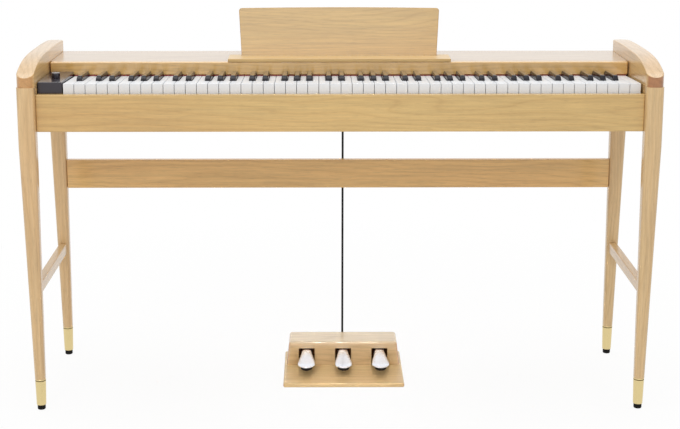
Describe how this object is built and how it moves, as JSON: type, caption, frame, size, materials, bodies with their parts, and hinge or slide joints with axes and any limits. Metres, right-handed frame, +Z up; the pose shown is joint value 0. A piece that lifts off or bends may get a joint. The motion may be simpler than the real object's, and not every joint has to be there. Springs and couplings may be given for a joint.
{
  "type": "digital piano",
  "caption": "Slim oak digital piano on four tapered legs, with weighted keys, a lift-off music stand and a separate pedal unit on a cord.",
  "frame": {"origin": "on the floor, under the middle of the stand's bounding box without the cord", "axes": "+X to the player's right along the keyboard, +Y away from the player towards the back panel, +Z up"},
  "size_m": [1.356, 0.38, 0.8555],
  "materials": {
    "oak": "satin clear lacquer",
    "brass": "satin",
    "glide_rubber": "matt",
    "white_keys": "gloss",
    "black_keys": "gloss",
    "black_plastic": "satin",
    "cord_plastic": "matt",
    "speaker_paper": "matt",
    "felt": "felt",
    "steel": "zinc plated",
    "chrome": "polished"
  },
  "bodies": {
    "root": {"leg_front_left": "oak", "leg_front_right": "oak", "leg_rear_left": "oak", "leg_rear_right": "oak", "ferrule_front_left": "brass", "ferrule_front_right": "brass", "ferrule_rear_left": "brass", "ferrule_rear_right": "brass", "glide_front_left": "glide_rubber", "glide_front_right": "glide_rubber", "glide_rear_left": "glide_rubber", "glide_rear_right": "glide_rubber", "side_stretcher_left": "oak", "side_stretcher_right": "oak", "rear_stretcher": "oak", "cheek_left": "oak", "cheek_right": "oak", "apron": "oak", "bottom_board": "oak", "back_panel": "oak", "lid": "oak", "fallboard": "oak", "felt_strip": "felt", "control_block": "black_plastic", "key_frame": "steel", "speaker_left": "speaker_paper", "speaker_right": "speaker_paper", "pedal_base": "oak", "pedal_housing": "oak", "pedal_axle": "steel", "pedal_cord": "cord_plastic", "pedal_plug": "cord_plastic", "cord_relief": "cord_plastic"},
    "music_stand": {"music_desk": "oak", "music_ledge": "oak"},
    "volume_knob": {"volume_knob": "black_plastic"},
    "pedal_left": {"pedal_left": "chrome"},
    "pedal_middle": {"pedal_middle": "chrome"},
    "pedal_right": {"pedal_right": "chrome"},
    "keys_oct1_CEGB": {"keys_oct1_CEGB": "white_keys"},
    "keys_oct1_DFA": {"keys_oct1_DFA": "white_keys"},
    "keys_oct1_black": {"keys_oct1_black": "black_keys"},
    "keys_oct2_CEGB": {"keys_oct2_CEGB": "white_keys"},
    "keys_oct2_DFA": {"keys_oct2_DFA": "white_keys"},
    "keys_oct2_black": {"keys_oct2_black": "black_keys"},
    "keys_oct3_CEGB": {"keys_oct3_CEGB": "white_keys"},
    "keys_oct3_DFA": {"keys_oct3_DFA": "white_keys"},
    "keys_oct3_black": {"keys_oct3_black": "black_keys"},
    "keys_oct4_CEGB": {"keys_oct4_CEGB": "white_keys"},
    "keys_oct4_DFA": {"keys_oct4_DFA": "white_keys"},
    "keys_oct4_black": {"keys_oct4_black": "black_keys"},
    "keys_oct5_CEGB": {"keys_oct5_CEGB": "white_keys"},
    "keys_oct5_DFA": {"keys_oct5_DFA": "white_keys"},
    "keys_oct5_black": {"keys_oct5_black": "black_keys"},
    "keys_oct6_CEGB": {"keys_oct6_CEGB": "white_keys"},
    "keys_oct6_DFA": {"keys_oct6_DFA": "white_keys"},
    "keys_oct6_black": {"keys_oct6_black": "black_keys"},
    "keys_oct7_CEGB": {"keys_oct7_CEGB": "white_keys"},
    "keys_oct7_DFA": {"keys_oct7_DFA": "white_keys"},
    "keys_oct7_black": {"keys_oct7_black": "black_keys"}
  },
  "joints": [
    {"name": "music_stand_lift", "type": "slide", "parent": "root", "child": "music_stand", "axis": [0, 0, 1], "range_m": [0, 0.018]},
    {"name": "volume_turn", "type": "hinge", "parent": "root", "child": "volume_knob", "pos_m": [-0.6115, -0.09, 0.7223], "axis": [0, 0, 1], "range_deg": [-150, 150]},
    {"name": "pedal_left_press", "type": "hinge", "parent": "root", "child": "pedal_left", "pos_m": [-0.075, 0.11, 0.0375], "axis": [1, 0, 0], "range_deg": [0, 6.5], "stiffness_Nm_per_rad": 6, "springref_deg": -3.44},
    {"name": "pedal_middle_press", "type": "hinge", "parent": "root", "child": "pedal_middle", "pos_m": [0.0105, 0.11, 0.0375], "axis": [1, 0, 0], "range_deg": [0, 6.5], "stiffness_Nm_per_rad": 6, "springref_deg": -3.44},
    {"name": "pedal_right_press", "type": "hinge", "parent": "root", "child": "pedal_right", "pos_m": [0.096, 0.11, 0.0375], "axis": [1, 0, 0], "range_deg": [0, 6.5], "stiffness_Nm_per_rad": 6, "springref_deg": -3.44},
    {"name": "oct1_CEGB_press", "type": "hinge", "parent": "root", "child": "keys_oct1_CEGB", "pos_m": [0, 0.072, 0.6997], "axis": [1, 0, 0], "range_deg": [0, 2.6], "stiffness_Nm_per_rad": 12, "springref_deg": -4.58},
    {"name": "oct1_DFA_press", "type": "hinge", "parent": "root", "child": "keys_oct1_DFA", "pos_m": [0, 0.072, 0.6997], "axis": [1, 0, 0], "range_deg": [0, 2.6], "stiffness_Nm_per_rad": 12, "springref_deg": -4.58},
    {"name": "oct1_black_press", "type": "hinge", "parent": "root", "child": "keys_oct1_black", "pos_m": [0, 0.072, 0.6997], "axis": [1, 0, 0], "range_deg": [0, 3.1], "stiffness_Nm_per_rad": 12, "springref_deg": -4.58},
    {"name": "oct2_CEGB_press", "type": "hinge", "parent": "root", "child": "keys_oct2_CEGB", "pos_m": [0, 0.072, 0.6997], "axis": [1, 0, 0], "range_deg": [0, 2.6], "stiffness_Nm_per_rad": 12, "springref_deg": -4.58},
    {"name": "oct2_DFA_press", "type": "hinge", "parent": "root", "child": "keys_oct2_DFA", "pos_m": [0, 0.072, 0.6997], "axis": [1, 0, 0], "range_deg": [0, 2.6], "stiffness_Nm_per_rad": 12, "springref_deg": -4.58},
    {"name": "oct2_black_press", "type": "hinge", "parent": "root", "child": "keys_oct2_black", "pos_m": [0, 0.072, 0.6997], "axis": [1, 0, 0], "range_deg": [0, 3.1], "stiffness_Nm_per_rad": 12, "springref_deg": -4.58},
    {"name": "oct3_CEGB_press", "type": "hinge", "parent": "root", "child": "keys_oct3_CEGB", "pos_m": [0, 0.072, 0.6997], "axis": [1, 0, 0], "range_deg": [0, 2.6], "stiffness_Nm_per_rad": 12, "springref_deg": -4.58},
    {"name": "oct3_DFA_press", "type": "hinge", "parent": "root", "child": "keys_oct3_DFA", "pos_m": [0, 0.072, 0.6997], "axis": [1, 0, 0], "range_deg": [0, 2.6], "stiffness_Nm_per_rad": 12, "springref_deg": -4.58},
    {"name": "oct3_black_press", "type": "hinge", "parent": "root", "child": "keys_oct3_black", "pos_m": [0, 0.072, 0.6997], "axis": [1, 0, 0], "range_deg": [0, 3.1], "stiffness_Nm_per_rad": 12, "springref_deg": -4.58},
    {"name": "oct4_CEGB_press", "type": "hinge", "parent": "root", "child": "keys_oct4_CEGB", "pos_m": [0, 0.072, 0.6997], "axis": [1, 0, 0], "range_deg": [0, 2.6], "stiffness_Nm_per_rad": 12, "springref_deg": -4.58},
    {"name": "oct4_DFA_press", "type": "hinge", "parent": "root", "child": "keys_oct4_DFA", "pos_m": [0, 0.072, 0.6997], "axis": [1, 0, 0], "range_deg": [0, 2.6], "stiffness_Nm_per_rad": 12, "springref_deg": -4.58},
    {"name": "oct4_black_press", "type": "hinge", "parent": "root", "child": "keys_oct4_black", "pos_m": [0, 0.072, 0.6997], "axis": [1, 0, 0], "range_deg": [0, 3.1], "stiffness_Nm_per_rad": 12, "springref_deg": -4.58},
    {"name": "oct5_CEGB_press", "type": "hinge", "parent": "root", "child": "keys_oct5_CEGB", "pos_m": [0, 0.072, 0.6997], "axis": [1, 0, 0], "range_deg": [0, 2.6], "stiffness_Nm_per_rad": 12, "springref_deg": -4.58},
    {"name": "oct5_DFA_press", "type": "hinge", "parent": "root", "child": "keys_oct5_DFA", "pos_m": [0, 0.072, 0.6997], "axis": [1, 0, 0], "range_deg": [0, 2.6], "stiffness_Nm_per_rad": 12, "springref_deg": -4.58},
    {"name": "oct5_black_press", "type": "hinge", "parent": "root", "child": "keys_oct5_black", "pos_m": [0, 0.072, 0.6997], "axis": [1, 0, 0], "range_deg": [0, 3.1], "stiffness_Nm_per_rad": 12, "springref_deg": -4.58},
    {"name": "oct6_CEGB_press", "type": "hinge", "parent": "root", "child": "keys_oct6_CEGB", "pos_m": [0, 0.072, 0.6997], "axis": [1, 0, 0], "range_deg": [0, 2.6], "stiffness_Nm_per_rad": 12, "springref_deg": -4.58},
    {"name": "oct6_DFA_press", "type": "hinge", "parent": "root", "child": "keys_oct6_DFA", "pos_m": [0, 0.072, 0.6997], "axis": [1, 0, 0], "range_deg": [0, 2.6], "stiffness_Nm_per_rad": 12, "springref_deg": -4.58},
    {"name": "oct6_black_press", "type": "hinge", "parent": "root", "child": "keys_oct6_black", "pos_m": [0, 0.072, 0.6997], "axis": [1, 0, 0], "range_deg": [0, 3.1], "stiffness_Nm_per_rad": 12, "springref_deg": -4.58},
    {"name": "oct7_CEGB_press", "type": "hinge", "parent": "root", "child": "keys_oct7_CEGB", "pos_m": [0, 0.072, 0.6997], "axis": [1, 0, 0], "range_deg": [0, 2.6], "stiffness_Nm_per_rad": 12, "springref_deg": -4.58},
    {"name": "oct7_DFA_press", "type": "hinge", "parent": "root", "child": "keys_oct7_DFA", "pos_m": [0, 0.072, 0.6997], "axis": [1, 0, 0], "range_deg": [0, 2.6], "stiffness_Nm_per_rad": 12, "springref_deg": -4.58},
    {"name": "oct7_black_press", "type": "hinge", "parent": "root", "child": "keys_oct7_black", "pos_m": [0, 0.072, 0.6997], "axis": [1, 0, 0], "range_deg": [0, 3.1], "stiffness_Nm_per_rad": 12, "springref_deg": -4.58}
  ]
}
